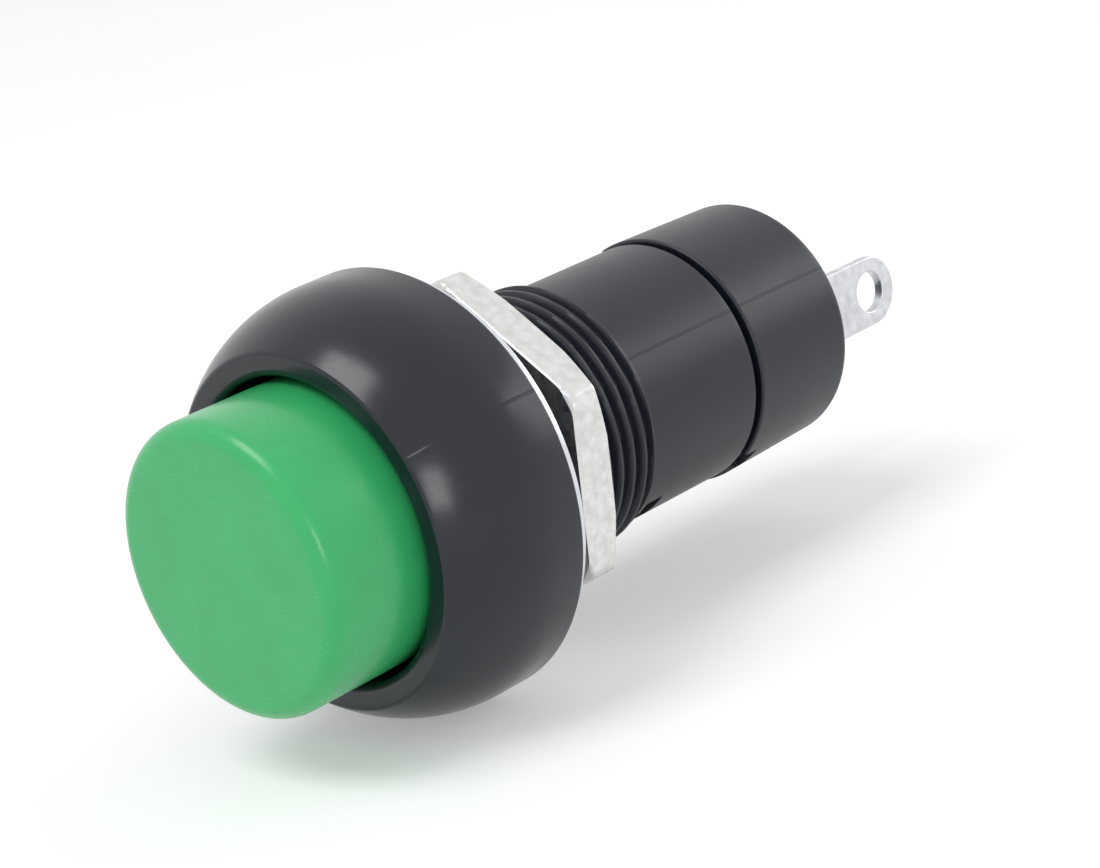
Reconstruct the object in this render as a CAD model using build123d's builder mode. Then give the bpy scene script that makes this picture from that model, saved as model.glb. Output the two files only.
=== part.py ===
"""Momentary push-button switch for a round panel hole, one solid for each separate piece.

Frame: millimetres. +Y runs from the button towards the solder terminals, +Z is up,
and the origin is the centre of the bezel's back face, the face a panel lies against.
"""

import os
from math import sqrt

from build123d import *

os.makedirs("parts", exist_ok=True)

# Housing: one moulding of bezel, threaded barrel and sleeve
bezel_r = 9.4
bezel_edge = 1.6
rim_y = -6.2
lip_width = 1.25
lip_drop = 0.25
pocket_gap = 0.3
ledge_front_y = -1.2
ledge_rear_y = 1.0
barrel_r = 6.0
barrel_end_y = 8.6
thread_relief = 0.35
sleeve_end_y = 15.6
sleeve_wall = 0.85
runout = 0.25

# Button cap
cap_r = 6.35
cap_face_y = -10.85
cap_stop_gap = 0.1
cap_wall = 1.0
cap_edge_round = 0.85
cap_peg_r = 1.5
cap_peg_length = 2.4

# Plunger
running_gap = 0.05
neck_r = 3.9
flange_gap = 0.1
flange_end_y = 2.6
stem_r = 2.2
shoulder_y = 5.5
peg_r = 1.0
peg_end_y = 9.65
socket_gap = 0.02
socket_depth = 2.6
travel = 3.0

# Springs
return_wire_r = 0.3
return_coil_gap = 0.4
return_turns = 5
contact_wire_r = 0.15
contact_mean_r = 1.5
contact_turns = 3
spring_seat_gap = 0.04

# Moving contact bridge with its two rivets and the clip that keeps it on the peg
bridge_y = 8.6
bridge_thick = 0.4
bridge_end_gap = 0.55
bridge_width = 2.8
bridge_hole_gap = 0.1
contact_x = 2.8
contact_r = 0.85
contact_height = 0.5
contact_bevel = 0.15
shank_r = 0.45
shank_gap = 0.02
clip_r = 1.75
clip_thick = 0.5

# Terminals and fixed contacts
closing_gap = 0.05
fixed_height = 0.45
terminal_thick = 0.5
terminal_width = 3.2
terminal_offset = 0.6
terminal_tip_y = 28.4
terminal_hole_r = 0.95
terminal_hole_from_tip = 1.75
pad_inner_x = 1.9
slot_gap = 0.05

# Rear cap with its spigot, two snap arms and their barbs
rear_flare = 0.13
rear_end_y = 22.2
rear_edge = 0.3
seam_gap = 0.28
seam_step = 0.45
snap_angle = 146.5
snap_width = 1.6
window_y = 9.2
window_length = 1.0
window_gap = 0.1
arm_thick = 0.4
barb_drop = 0.2
arm_lead = 0.2
recess_wall = 0.95
recess_depth = 0.8
notch_depth = 0.35
notch_length = 0.8

# Washer and nut
washer_edge = 0.35
washer_hole_gap = 0.15
washer_thick = 0.5
nut_across_flats = 14.0
nut_front_y = 2.6
nut_thick = 1.9
nut_corner_angle = 7.4
nut_flat_chamfer_r = 7.3
nut_chamfer_height = 0.45

# Places that follow from the sizes above
pocket_r = cap_r + pocket_gap
lip_r = pocket_r + lip_width
sleeve_r = barrel_r - thread_relief
bore_r = sleeve_r - sleeve_wall
flange_r = bore_r - flange_gap
spigot_r = bore_r - running_gap
seam_r = spigot_r + seam_step
arm_inner_r = spigot_r - arm_thick
barb_r = sleeve_r - barb_drop
rear_back_r = sleeve_r
rear_front_r = sleeve_r + rear_flare
recess_r = rear_back_r - recess_wall
washer_r = bezel_r - washer_edge
bridge_half_length = arm_inner_r - bridge_end_gap
terminal_x = contact_x + terminal_offset
return_mean_r = neck_r + return_coil_gap + return_wire_r
cap_skirt_y = ledge_front_y - travel - cap_stop_gap
ledge_hole_r = neck_r + running_gap
cap_inner_y = cap_face_y + cap_wall
cap_inner_r = cap_r - cap_wall
clip_y = bridge_y + bridge_thick
bridge_contact_tip_y = clip_y + contact_height
fixed_tip_y = bridge_contact_tip_y + travel + closing_gap
pad_y = fixed_tip_y + fixed_height
spigot_y = pad_y + terminal_thick
terminal_outer_x = terminal_x + terminal_thick / 2
nut_corner_r = nut_across_flats / sqrt(3)


def across(y):
    """The plane square to the axis at y, with X to the right and Z up."""
    return Plane.XZ.offset(-y)


with BuildPart() as housing:
    with BuildSketch(Plane.XY):
        with BuildLine():
            Polyline(
                (pocket_r + lip_drop, rim_y),
                (pocket_r, rim_y + lip_drop),
                (pocket_r, ledge_front_y),
                (ledge_hole_r, ledge_front_y),
                (ledge_hole_r, ledge_rear_y),
                (bore_r, ledge_rear_y),
                (bore_r, sleeve_end_y),
                (sleeve_r, sleeve_end_y),
                (sleeve_r, barrel_end_y),
                (barrel_r - runout, barrel_end_y),
                (barrel_r, barrel_end_y - runout),
                (barrel_r, 0),
                (bezel_r, 0),
                (bezel_r, -bezel_edge),
            )
            TangentArc((bezel_r, -bezel_edge), (lip_r, rim_y + lip_drop), tangent=(0, -1))
            Polyline((lip_r, rim_y + lip_drop), (lip_r - lip_drop, rim_y), (pocket_r + lip_drop, rim_y))
        make_face()
    revolve(axis=Axis.Y)
    # one strip cut through both sides leaves a window at each end
    with BuildSketch(across(window_y)):
        Rectangle(3 * sleeve_r, snap_width + 2 * window_gap, rotation=90 - snap_angle)
    extrude(amount=-window_length, mode=Mode.SUBTRACT)

with BuildPart() as button_cap:
    with BuildSketch(across(cap_face_y)):
        Circle(cap_r)
    extrude(amount=cap_face_y - cap_skirt_y)
    fillet(button_cap.faces().sort_by(Axis.Y)[0].edges(), radius=cap_edge_round)
    with BuildSketch(across(cap_inner_y)):
        Circle(cap_inner_r)
    extrude(amount=cap_inner_y - cap_skirt_y, mode=Mode.SUBTRACT)
    with BuildSketch(across(cap_inner_y)):
        Circle(cap_peg_r)
    extrude(amount=-cap_peg_length)

with BuildPart() as plunger:
    with BuildSketch(Plane.XY):
        with BuildLine():
            Polyline(
                (cap_peg_r + socket_gap, cap_inner_y),
                (neck_r, cap_inner_y),
                (neck_r, ledge_rear_y),
                (flange_r, ledge_rear_y),
                (flange_r, flange_end_y),
                (stem_r, flange_end_y),
                (stem_r, shoulder_y),
                (peg_r, shoulder_y),
                (peg_r, peg_end_y),
                (0, peg_end_y),
                (0, cap_inner_y + socket_depth),
                (cap_peg_r + socket_gap, cap_inner_y + socket_depth),
                close=True,
            )
        make_face()
    revolve(axis=Axis.Y)

return_start_y = cap_inner_y + return_wire_r + spring_seat_gap
return_length = ledge_front_y - return_wire_r - spring_seat_gap - return_start_y
with BuildPart() as return_spring:
    with BuildLine() as return_path:
        Helix(
            pitch=return_length / return_turns,
            height=return_length,
            radius=return_mean_r,
            center=(0, return_start_y, 0),
            direction=(0, 1, 0),
        )
    with BuildSketch(Plane(origin=return_path.line @ 0, z_dir=return_path.line % 0)):
        Circle(return_wire_r)
    sweep(path=return_path.line, is_frenet=True)

contact_start_y = shoulder_y + contact_wire_r + spring_seat_gap
contact_length = bridge_y - contact_wire_r - spring_seat_gap - contact_start_y
with BuildPart() as contact_spring:
    with BuildLine() as contact_path:
        Helix(
            pitch=contact_length / contact_turns,
            height=contact_length,
            radius=contact_mean_r,
            center=(0, contact_start_y, 0),
            direction=(0, 1, 0),
        )
    with BuildSketch(Plane(origin=contact_path.line @ 0, z_dir=contact_path.line % 0)):
        Circle(contact_wire_r)
    sweep(path=contact_path.line, is_frenet=True)

with BuildPart() as contact_bridge:
    with BuildSketch(across(bridge_y)):
        Rectangle(2 * bridge_half_length, bridge_width)
        Circle(peg_r + bridge_hole_gap, mode=Mode.SUBTRACT)
        with Locations((-contact_x, 0), (contact_x, 0)):
            Circle(shank_r + shank_gap, mode=Mode.SUBTRACT)
    extrude(amount=-bridge_thick)

with BuildPart() as retaining_clip:
    with BuildSketch(across(clip_y)):
        Circle(clip_r)
        Circle(peg_r + socket_gap, mode=Mode.SUBTRACT)
    extrude(amount=-clip_thick)

with BuildPart() as hex_nut:
    with BuildSketch(across(nut_front_y)):
        RegularPolygon(nut_corner_r, 6, rotation=90 - nut_corner_angle)
    extrude(amount=-nut_thick)
    with BuildSketch(Plane.XY):
        with BuildLine():
            Polyline(
                (0, nut_front_y),
                (nut_corner_r, nut_front_y),
                (nut_corner_r, nut_front_y + nut_thick - nut_chamfer_height),
                (nut_flat_chamfer_r, nut_front_y + nut_thick),
                (0, nut_front_y + nut_thick),
                close=True,
            )
        make_face()
    revolve(axis=Axis.Y, mode=Mode.INTERSECT)
    with BuildSketch(across(nut_front_y)):
        Circle(barrel_r + running_gap)
    extrude(amount=-nut_thick, mode=Mode.SUBTRACT)

with BuildPart() as washer:
    with BuildSketch(across(0)):
        Circle(washer_r)
        Circle(barrel_r + washer_hole_gap, mode=Mode.SUBTRACT)
    extrude(amount=-washer_thick)

with BuildPart() as rear_cap:
    with BuildSketch(Plane.XY):
        with BuildLine():
            Polyline(
                (0, spigot_y),
                (spigot_r, spigot_y),
                (spigot_r, sleeve_end_y),
                (seam_r, sleeve_end_y),
                (seam_r, sleeve_end_y + seam_gap),
                (rear_front_r, sleeve_end_y + seam_gap),
                (rear_back_r, rear_end_y - rear_edge),
                (rear_back_r - rear_edge, rear_end_y),
                (recess_r, rear_end_y),
                (recess_r, rear_end_y - recess_depth),
                (0, rear_end_y - recess_depth),
                close=True,
            )
        make_face()
    revolve(axis=Axis.Y)
    # both snap arms, then the barb on the outside of each
    with BuildSketch(across(window_y - arm_lead)):
        Circle(spigot_r)
        Circle(arm_inner_r, mode=Mode.SUBTRACT)
        Rectangle(3 * sleeve_r, snap_width, rotation=90 - snap_angle, mode=Mode.INTERSECT)
    extrude(amount=window_y - arm_lead - spigot_y)
    with BuildSketch(across(window_y + window_gap)):
        Circle(barb_r)
        Circle(arm_inner_r, mode=Mode.SUBTRACT)
        Rectangle(3 * sleeve_r, snap_width, rotation=90 - snap_angle, mode=Mode.INTERSECT)
    extrude(amount=2 * window_gap - window_length)
    # a shallow key notch in the front edge, in line with each arm
    with BuildSketch(across(sleeve_end_y + seam_gap)):
        Circle(rear_front_r + 1)
        Circle(rear_front_r - notch_depth, mode=Mode.SUBTRACT)
        Rectangle(3 * sleeve_r, snap_width, rotation=90 - snap_angle, mode=Mode.INTERSECT)
    extrude(amount=-notch_length, mode=Mode.SUBTRACT)
    with BuildSketch(across(spigot_y)):
        with Locations((-terminal_x, 0), (terminal_x, 0)):
            Rectangle(terminal_thick + 2 * slot_gap, terminal_width + 2 * slot_gap)
    extrude(amount=spigot_y - rear_end_y, mode=Mode.SUBTRACT)

pieces = {
    "housing": housing,
    "button_cap": button_cap,
    "plunger": plunger,
    "return_spring": return_spring,
    "contact_spring": contact_spring,
    "contact_bridge": contact_bridge,
    "retaining_clip": retaining_clip,
    "hex_nut": hex_nut,
    "washer": washer,
    "rear_cap": rear_cap,
}

for side, sign in (("left", -1), ("right", 1)):
    rivet_plane = Plane((sign * contact_x, 0, 0))
    rivet_axis = Axis((sign * contact_x, 0, 0), (0, 1, 0))

    with BuildPart() as bridge_contact:
        with BuildSketch(rivet_plane):
            with BuildLine():
                Polyline(
                    (0, bridge_y),
                    (shank_r, bridge_y),
                    (shank_r, clip_y),
                    (contact_r, clip_y),
                    (contact_r, bridge_contact_tip_y - contact_bevel),
                    (contact_r - 2 * contact_bevel, bridge_contact_tip_y),
                    (0, bridge_contact_tip_y),
                    close=True,
                )
            make_face()
        revolve(axis=rivet_axis)
    pieces["bridge_contact_" + side] = bridge_contact

    with BuildPart() as fixed_contact:
        with BuildSketch(rivet_plane):
            with BuildLine():
                Polyline(
                    (0, fixed_tip_y),
                    (contact_r - 2 * contact_bevel, fixed_tip_y),
                    (contact_r, fixed_tip_y + contact_bevel),
                    (contact_r, pad_y),
                    (shank_r, pad_y),
                    (shank_r, spigot_y),
                    (0, spigot_y),
                    close=True,
                )
            make_face()
        revolve(axis=rivet_axis)
    pieces["fixed_contact_" + side] = fixed_contact

    with BuildPart() as terminal:
        with BuildSketch(across(pad_y)):
            with Locations((sign * (pad_inner_x + terminal_outer_x) / 2, 0)):
                Rectangle(terminal_outer_x - pad_inner_x, terminal_width)
            with Locations((sign * contact_x, 0)):
                Circle(shank_r + shank_gap, mode=Mode.SUBTRACT)
        extrude(amount=-terminal_thick)
        round_y = terminal_tip_y - terminal_width / 2
        with BuildSketch(Plane.YZ.offset(sign * terminal_x)):
            with Locations(((pad_y + terminal_thick + round_y) / 2, 0)):
                Rectangle(round_y - pad_y - terminal_thick, terminal_width)
            with Locations((round_y, 0)):
                Circle(terminal_width / 2)
            with Locations((terminal_tip_y - terminal_hole_from_tip, 0)):
                Circle(terminal_hole_r, mode=Mode.SUBTRACT)
        extrude(amount=terminal_thick / 2, both=True)
    pieces["terminal_" + side] = terminal

for name, piece in pieces.items():
    piece.part.label = name
    export_step(piece.part, "parts/" + name + ".step")
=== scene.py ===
"""A momentary push-button switch: moulded housing, green cap, nut, washer and solder terminals.

Every piece is a surface worked out with numpy in millimetres about the switch's own axis, +Y,
from the button to the terminals. An angle is measured round that axis from +Z towards +X,
so X is the radius times its sine and Z the radius times its cosine.
"""

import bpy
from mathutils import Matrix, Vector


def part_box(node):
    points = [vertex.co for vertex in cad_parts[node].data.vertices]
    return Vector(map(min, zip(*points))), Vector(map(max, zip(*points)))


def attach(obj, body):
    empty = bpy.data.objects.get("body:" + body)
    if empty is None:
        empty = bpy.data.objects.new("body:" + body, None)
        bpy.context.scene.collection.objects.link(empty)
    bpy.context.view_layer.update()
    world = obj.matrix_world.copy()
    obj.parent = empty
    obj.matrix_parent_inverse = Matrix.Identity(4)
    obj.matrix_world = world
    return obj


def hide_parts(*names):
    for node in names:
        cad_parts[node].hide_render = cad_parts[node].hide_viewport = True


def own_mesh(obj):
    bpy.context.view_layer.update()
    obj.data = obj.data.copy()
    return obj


bl_info = {
    "name": "Push-button switch",
    "version": (1, 0, 0),
    "blender": (4, 5, 0),
    "location": "View3D > Sidebar > Push switch",
    "description": "Builds the moulded, threaded and plated pieces of a panel push-button switch",
    "category": "Object",
}

import bpy
import numpy as np
from bpy.props import FloatProperty, FloatVectorProperty, IntProperty, PointerProperty
from mathutils import Matrix, Vector

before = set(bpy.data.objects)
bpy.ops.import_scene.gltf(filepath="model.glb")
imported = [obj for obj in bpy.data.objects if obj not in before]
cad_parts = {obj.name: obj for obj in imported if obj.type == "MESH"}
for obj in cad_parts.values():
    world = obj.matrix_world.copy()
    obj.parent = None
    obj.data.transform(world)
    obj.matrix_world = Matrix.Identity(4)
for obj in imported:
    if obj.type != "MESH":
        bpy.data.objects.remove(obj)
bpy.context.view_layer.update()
MM = 0.001

# sizes in millimetres that more than one piece keeps to, and the angles of the two snap arms
LEDGE_FRONT, LEDGE_REAR = -1.2, 1.0
BORE_R = 4.8
PEG_R = 1.5
CAP_WALL = 1.0
WINDOW_FRONT, WINDOW_REAR = 9.2, 10.2
ARM_HALF_WIDTH = 0.8
SNAP_ANGLES = np.radians([146.5, 326.5])


# ---------------------------------------------------------------- surfaces

def rounded(corners, radii, steps=7):
    """A closed outline with its corners rounded.

    Each corner is cut back along both its sides by the radius over the tangent of half its angle,
    and the two cuts are joined by the arc about the point on the bisector at the radius over the
    sine of half the angle. A radius of 0 keeps the corner.
    """
    p = np.asarray(corners, float)
    r = np.asarray(radii, float)
    back = np.roll(p, 1, axis=0) - p
    ahead = np.roll(p, -1, axis=0) - p
    back /= np.linalg.norm(back, axis=1)[:, None]
    ahead /= np.linalg.norm(ahead, axis=1)[:, None]
    half = np.arccos(np.clip((back * ahead).sum(1), -1, 1)) / 2
    middle = back + ahead
    length = np.linalg.norm(middle, axis=1)
    flat = (length < 1e-6) | (r <= 0)
    middle /= np.where(length < 1e-6, 1, length)[:, None]
    reach = np.where(flat, 0, r / np.sin(half))
    cut = np.where(flat, 0, r / np.tan(half))
    centre = p + middle * reach[:, None]
    spoke = p + back * cut[:, None] - centre
    turn = -np.sign(back[:, 0] * ahead[:, 1] - back[:, 1] * ahead[:, 0]) * (np.pi - 2 * half)
    a = turn[:, None] * np.linspace(0, 1, steps)[None, :]
    x = centre[:, 0, None] + spoke[:, 0, None] * np.cos(a) - spoke[:, 1, None] * np.sin(a)
    y = centre[:, 1, None] + spoke[:, 0, None] * np.sin(a) + spoke[:, 1, None] * np.cos(a)
    out = np.stack([x, y], axis=2).reshape(-1, 2)
    step = np.linalg.norm(out - np.roll(out, 1, axis=0), axis=1)
    return out[step > 1e-7]


def between(a, b, count):
    """Points on the straight line from a to b, ends left out."""
    t = np.linspace(0, 1, count + 2)[1:-1, None]
    return np.asarray(a, float) * (1 - t) + np.asarray(b, float) * t


def around(radius, along, angle):
    """Turns radius and place along the axis into points: X is radius times sine, Z radius times cosine."""
    radius, along, angle = np.broadcast_arrays(radius, along, angle)
    return np.stack([radius * np.sin(angle), along, radius * np.cos(angle)], axis=-1)


def angles(count, extra=()):
    """Evenly spaced angles round the axis, with any extra ones sorted in."""
    even = np.linspace(0, 2 * np.pi, count, endpoint=False)
    every = np.sort(np.concatenate([even, np.mod(np.asarray(extra, float), 2 * np.pi)]))
    return every[np.diff(every, prepend=-1) > 1e-4]


def strip_edges(centres, half_width):
    """Angles just inside and just outside both edges of each strip, given half its width as an angle."""
    sides = half_width * np.array([-1, 1])
    return np.concatenate([c + sides + step for c in centres for step in (-0.004, 0.004)])


def off_centre(angle, centres):
    """How far each angle is from the nearest of the centres, the short way round."""
    away = np.mod(angle[None, :] - centres[:, None] + np.pi, 2 * np.pi) - np.pi
    return np.min(np.abs(away), axis=0)


def shell(points, ring=True):
    """Vertices and faces of a closed surface from a grid of points.

    The second index runs round and closes on itself. The first closes too if ring is true;
    if not, its first and last rows are each one point, a pole, that a fan of triangles closes.
    """
    rows, cols = points.shape[:2]
    col = np.arange(cols)
    nxt = (col + 1) % cols
    if ring:
        r0 = np.arange(rows)[:, None] * cols
        r1 = (np.arange(rows)[:, None] + 1) % rows * cols
        quads = np.stack([r0 + col, r0 + nxt, r1 + nxt, r1 + col], axis=-1).reshape(-1, 4)
        return points.reshape(-1, 3), quads.tolist()
    body = points[1:-1]
    inner = rows - 2
    r0 = np.arange(inner - 1)[:, None] * cols
    r1 = r0 + cols
    quads = np.stack([r0 + col, r0 + nxt, r1 + nxt, r1 + col], axis=-1).reshape(-1, 4)
    first = inner * cols
    last = first + 1
    fan_a = np.stack([np.full(cols, first), nxt, col], axis=-1)
    low = (inner - 1) * cols
    fan_b = np.stack([np.full(cols, last), low + col, low + nxt], axis=-1)
    verts = np.vstack([body.reshape(-1, 3), points[0, :1], points[-1, :1]])
    return verts, quads.tolist() + fan_a.tolist() + fan_b.tolist()


def outward(verts, faces):
    """Turns the faces outwards: the volume they enclose, a sum of triple products, comes out positive."""
    v = np.asarray(verts)
    tri = np.array([[f[0], f[1], f[2]] for f in faces] + [[f[0], f[2], f[3]] for f in faces if len(f) == 4])
    a, b, c = v[tri[:, 0]], v[tri[:, 1]], v[tri[:, 2]]
    volume = (a * np.cross(b, c)).sum()
    return faces if volume > 0 else [f[::-1] for f in faces]


def piece(name, shells, node, body, material, sharp=32):
    """One object from closed shells given in millimetres, standing for a CAD node and riding on its body."""
    verts, faces, start = [], [], 0
    for v, f in shells:
        f = outward(v, f)
        verts.append(np.asarray(v) * MM)
        faces += [[i + start for i in face] for face in f]
        start += len(v)
    mesh = bpy.data.meshes.new(name)
    mesh.from_pydata(np.vstack(verts).tolist(), [], faces)
    mesh.validate()
    mesh.shade_smooth()
    mesh.set_sharp_from_angle(angle=np.radians(sharp))
    mesh.materials.append(material)
    obj = bpy.data.objects.new(name, mesh)
    bpy.context.scene.collection.objects.link(obj)
    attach(obj, body)
    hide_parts(node)
    return obj


def lathe(profile, turn, ring=True):
    """A profile of (radius, place along the axis) carried round the axis."""
    profile = np.asarray(profile, float)
    points = around(profile[:, 0, None], profile[:, 1, None], turn[None, :])
    return shell(points, ring)


def smooth_step(x):
    """0 below 0, 1 above 1, and 3x squared less 2x cubed between."""
    x = np.clip(x, 0, 1)
    return x * x * (3 - 2 * x)


def groove(along, angle, pitch):
    """Depth share of a right-hand thread, 0 on the crest and 1 at the root.

    The phase is the place along the axis over the pitch, less the angle over a full turn;
    its distance from the nearest whole number, doubled, goes through a smooth step.
    """
    phase = along / pitch - angle / (2 * np.pi)
    away = 2 * np.abs(phase - np.round(phase))
    return smooth_step((away - 0.16) / 0.68)


def soft_min(a, b, soft):
    """The smaller of two values, with the corner between them rounded over a width of soft."""
    h = np.clip(0.5 + 0.5 * (b - a) / soft, 0, 1)
    return b * (1 - h) + a * h - soft * h * (1 - h)


def block(low, high, turn=0.0, soft=0.06):
    """A closed box with rounded edges, in a frame turned about the axis.

    The grid is a sphere's, each point pushed to a superellipsoid of a high power; its local third
    direction points outwards at the turn angle, its second along the axis.
    """
    low, high = np.asarray(low, float), np.asarray(high, float)
    centre, half = (low + high) / 2, (high - low) / 2
    u = np.linspace(-np.pi / 2, np.pi / 2, 25)[:, None]
    w = np.linspace(0, 2 * np.pi, 48, endpoint=False)[None, :]
    d = np.stack(np.broadcast_arrays(np.cos(u) * np.cos(w), np.sin(u), np.cos(u) * np.sin(w)), axis=-1)
    power = 1 / max(soft, 0.02)
    scale = (np.abs(d) ** power).sum(-1, keepdims=True) ** (-1 / power)
    p = centre + d * scale * half
    x = p[..., 0] * np.cos(turn) + p[..., 2] * np.sin(turn)
    z = -p[..., 0] * np.sin(turn) + p[..., 2] * np.cos(turn)
    return shell(np.stack([x, p[..., 1], z], axis=-1), ring=False)


def coil(radius, wire, start, end, turns, rest=0.8):
    """A compression spring's wire, closed at both ends.

    The centre line turns at a constant radius. Its place along the axis climbs by one wire in each
    end coil and evenly between. Circles square to it carry the wire, and shrink to a point at each end.
    """
    total = turns + 2 * rest
    s = np.linspace(0, 1, int(total * 40))
    a = 2 * np.pi * total * s
    climb = np.minimum(np.minimum(s, 1 - s) * total / rest, 1)
    rate = 0.12 + 0.88 * smooth_step(climb)
    y = np.concatenate([[0], np.cumsum((rate[1:] + rate[:-1]) / 2)])
    y = start + wire + (end - start - 2 * wire) * y / y[-1]
    line = around(radius, y, a)
    along = np.gradient(line, axis=0)
    along /= np.linalg.norm(along, axis=1)[:, None]
    out = around(1.0, 0.0 * y, a)
    side = np.cross(along, out)
    w = np.linspace(0, 2 * np.pi, 14, endpoint=False)[None, :, None]
    size = np.full(len(s), wire)
    size[0] = size[-1] = 0
    ring = out[:, None, :] * np.cos(w) + side[:, None, :] * np.sin(w)
    return shell(line[:, None, :] + ring * size[:, None, None], ring=False)


# ---------------------------------------------------------------- sizes and colours

def size_of(label, about, millimetres):
    """A length that a user may change, given in millimetres and kept in metres."""
    return FloatProperty(
        name=label,
        description=about,
        default=millimetres * MM,
        unit="LENGTH",
        subtype="DISTANCE",
        precision=5,
    )


def colour_of(label, about, rgb):
    """A surface colour."""
    return FloatVectorProperty(
        name=label,
        description=about,
        default=rgb,
        size=3,
        subtype="COLOR",
        min=0,
        max=1,
    )


def power_of(label, about, watts):
    """The power of a light."""
    return FloatProperty(name=label, description=about, default=watts, unit="POWER")


class PushSwitchSizes(bpy.types.PropertyGroup):
    """Lengths of the drawn pieces. They keep to the CAD pieces' boxes."""

    bezel_r: size_of("Bezel radius", "Largest radius of the domed bezel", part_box("housing")[1][0] / MM)
    rim_y: size_of("Rim", "Place of the bezel's front rim along the axis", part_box("housing")[0][1] / MM)
    lip_r: size_of("Lip radius", "Radius where the dome meets the front lip", 7.9)
    pocket_r: size_of("Pocket radius", "Radius of the pocket that the cap slides in", 6.65)
    barrel_r: size_of("Barrel radius", "Radius over the thread's crests", 6.0)
    barrel_end: size_of("Barrel end", "Where the thread stops and the sleeve starts", 8.6)
    pitch: size_of("Thread pitch", "Distance from one thread crest to the next", 0.75)
    thread_depth: size_of("Thread depth", "Crest to root", 0.4)
    sleeve_r: size_of("Sleeve radius", "Radius of the smooth sleeve", 5.65)
    sleeve_end: size_of("Sleeve end", "Where the sleeve stops, at the seam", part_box("housing")[1][1] / MM)
    cap_r: size_of("Cap radius", "Radius of the green cap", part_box("button_cap")[1][0] / MM)
    cap_face: size_of("Cap face", "Place of the cap's front face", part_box("button_cap")[0][1] / MM)
    cap_skirt: size_of("Cap skirt", "Where the cap's skirt ends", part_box("button_cap")[1][1] / MM)
    cap_round: size_of("Cap edge", "Rounding of the cap's front edge", 0.8)
    nut_flats: size_of("Nut across flats", "Distance between opposite flats", 14.0)
    nut_front: size_of("Nut front", "Place of the nut's front face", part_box("hex_nut")[0][1] / MM)
    nut_rear: size_of("Nut rear", "Place of the nut's rear face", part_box("hex_nut")[1][1] / MM)
    washer_r: size_of("Washer radius", "Outer radius of the washer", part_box("washer")[1][0] / MM)
    washer_thick: size_of("Washer thickness", "Thickness of the washer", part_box("washer")[1][1] / MM)
    rear_front_r: size_of("Rear cap front radius", "Radius of the rear cap at the seam", 5.78)
    rear_back_r: size_of("Rear cap back radius", "Radius of the rear cap at its end", 5.65)
    rear_end: size_of("Rear cap end", "Place of the rear cap's end face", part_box("rear_cap")[1][1] / MM)
    terminal_x: size_of("Terminal place", "Distance of each terminal from the axis", 3.4)
    terminal_tip: size_of("Terminal tip", "Place of the terminals' tips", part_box("terminal_left")[1][1] / MM)
    terminal_width: size_of("Terminal width", "Width of the terminal strip", 3.2)
    terminal_thick: size_of("Terminal thickness", "Thickness of the terminal strip", 0.5)


class PushSwitchColours(bpy.types.PropertyGroup):
    """Colours of the finishes."""

    cap: colour_of("Cap", "Green cap moulding", (0.045, 0.50, 0.165))
    housing: colour_of("Housing", "Black housing moulding", (0.0055, 0.0085, 0.0165))
    inner: colour_of("Inner moulding", "Plunger moulding", (0.72, 0.71, 0.66))
    nickel: colour_of("Nut plating", "Nickel plating of the nut", (0.78, 0.78, 0.765))
    zinc: colour_of("Washer plating", "Zinc plating of the washer", (0.74, 0.76, 0.8))
    tin: colour_of("Terminal plating", "Tin plating of the terminals", (0.72, 0.73, 0.76))
    steel: colour_of("Spring wire", "Drawn spring wire", (0.5, 0.51, 0.53))
    brass: colour_of("Bridge brass", "Stamped brass of the contact bridge", (0.72, 0.5, 0.2))
    silver: colour_of("Contact silver", "Silver of the contact rivets", (0.86, 0.84, 0.79))
    floor: colour_of("Floor", "Floor under the switch", (0.86, 0.86, 0.86))


class PushSwitchStage(bpy.types.PropertyGroup):
    """Camera, lights and grid fineness."""

    camera_place: FloatVectorProperty(
        name="Camera place",
        description="Where the camera stands",
        default=(89.9 * MM, -76.4 * MM, 33.5 * MM),
        size=3,
        unit="LENGTH",
        subtype="TRANSLATION",
        precision=5,
    )
    camera_aim: FloatVectorProperty(
        name="Camera aim",
        description="Point in the middle of the view",
        default=(-0.5 * MM, 8.5 * MM, -0.9 * MM),
        size=3,
        unit="LENGTH",
        subtype="TRANSLATION",
        precision=5,
    )
    camera_up: FloatVectorProperty(
        name="Camera up",
        description="Direction that points up in the view",
        default=(-0.052, 0.337, 0.940),
        size=3,
        subtype="DIRECTION",
    )
    lens: FloatProperty(name="Lens", description="Focal length", default=96, unit="CAMERA")
    key_power: power_of("Key light", "Power of the large soft light", 1.5)
    fill_power: power_of("Fill light", "Power of the side light", 0.5)
    rim_power: power_of("Back light", "Power of the light behind", 0.6)
    sky: FloatProperty(name="Sky", description="Strength of the even light from all round", default=0.55)
    columns: IntProperty(name="Columns", description="Faces round a turned piece", default=192)


# ---------------------------------------------------------------- shader effects

def add(tree, kind, place=(0, 0), **values):
    """A node with its fields and input sockets set by name; a socket's spaces are given as underscores."""
    made = tree.nodes.new(kind)
    made.location = place
    for key, value in values.items():
        socket = key.replace("_", " ")
        if socket in made.inputs:
            made.inputs[socket].default_value = value
        else:
            setattr(made, key, value)
    return made


def join(tree, source, target):
    """A link from one socket to another."""
    tree.links.new(source, target)


def wire(tree, *links):
    """Several links, each given as a node and its output, then a node and its input."""
    for source, output, target, socket in links:
        join(tree, source.outputs[output], target.inputs[socket])


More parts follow.
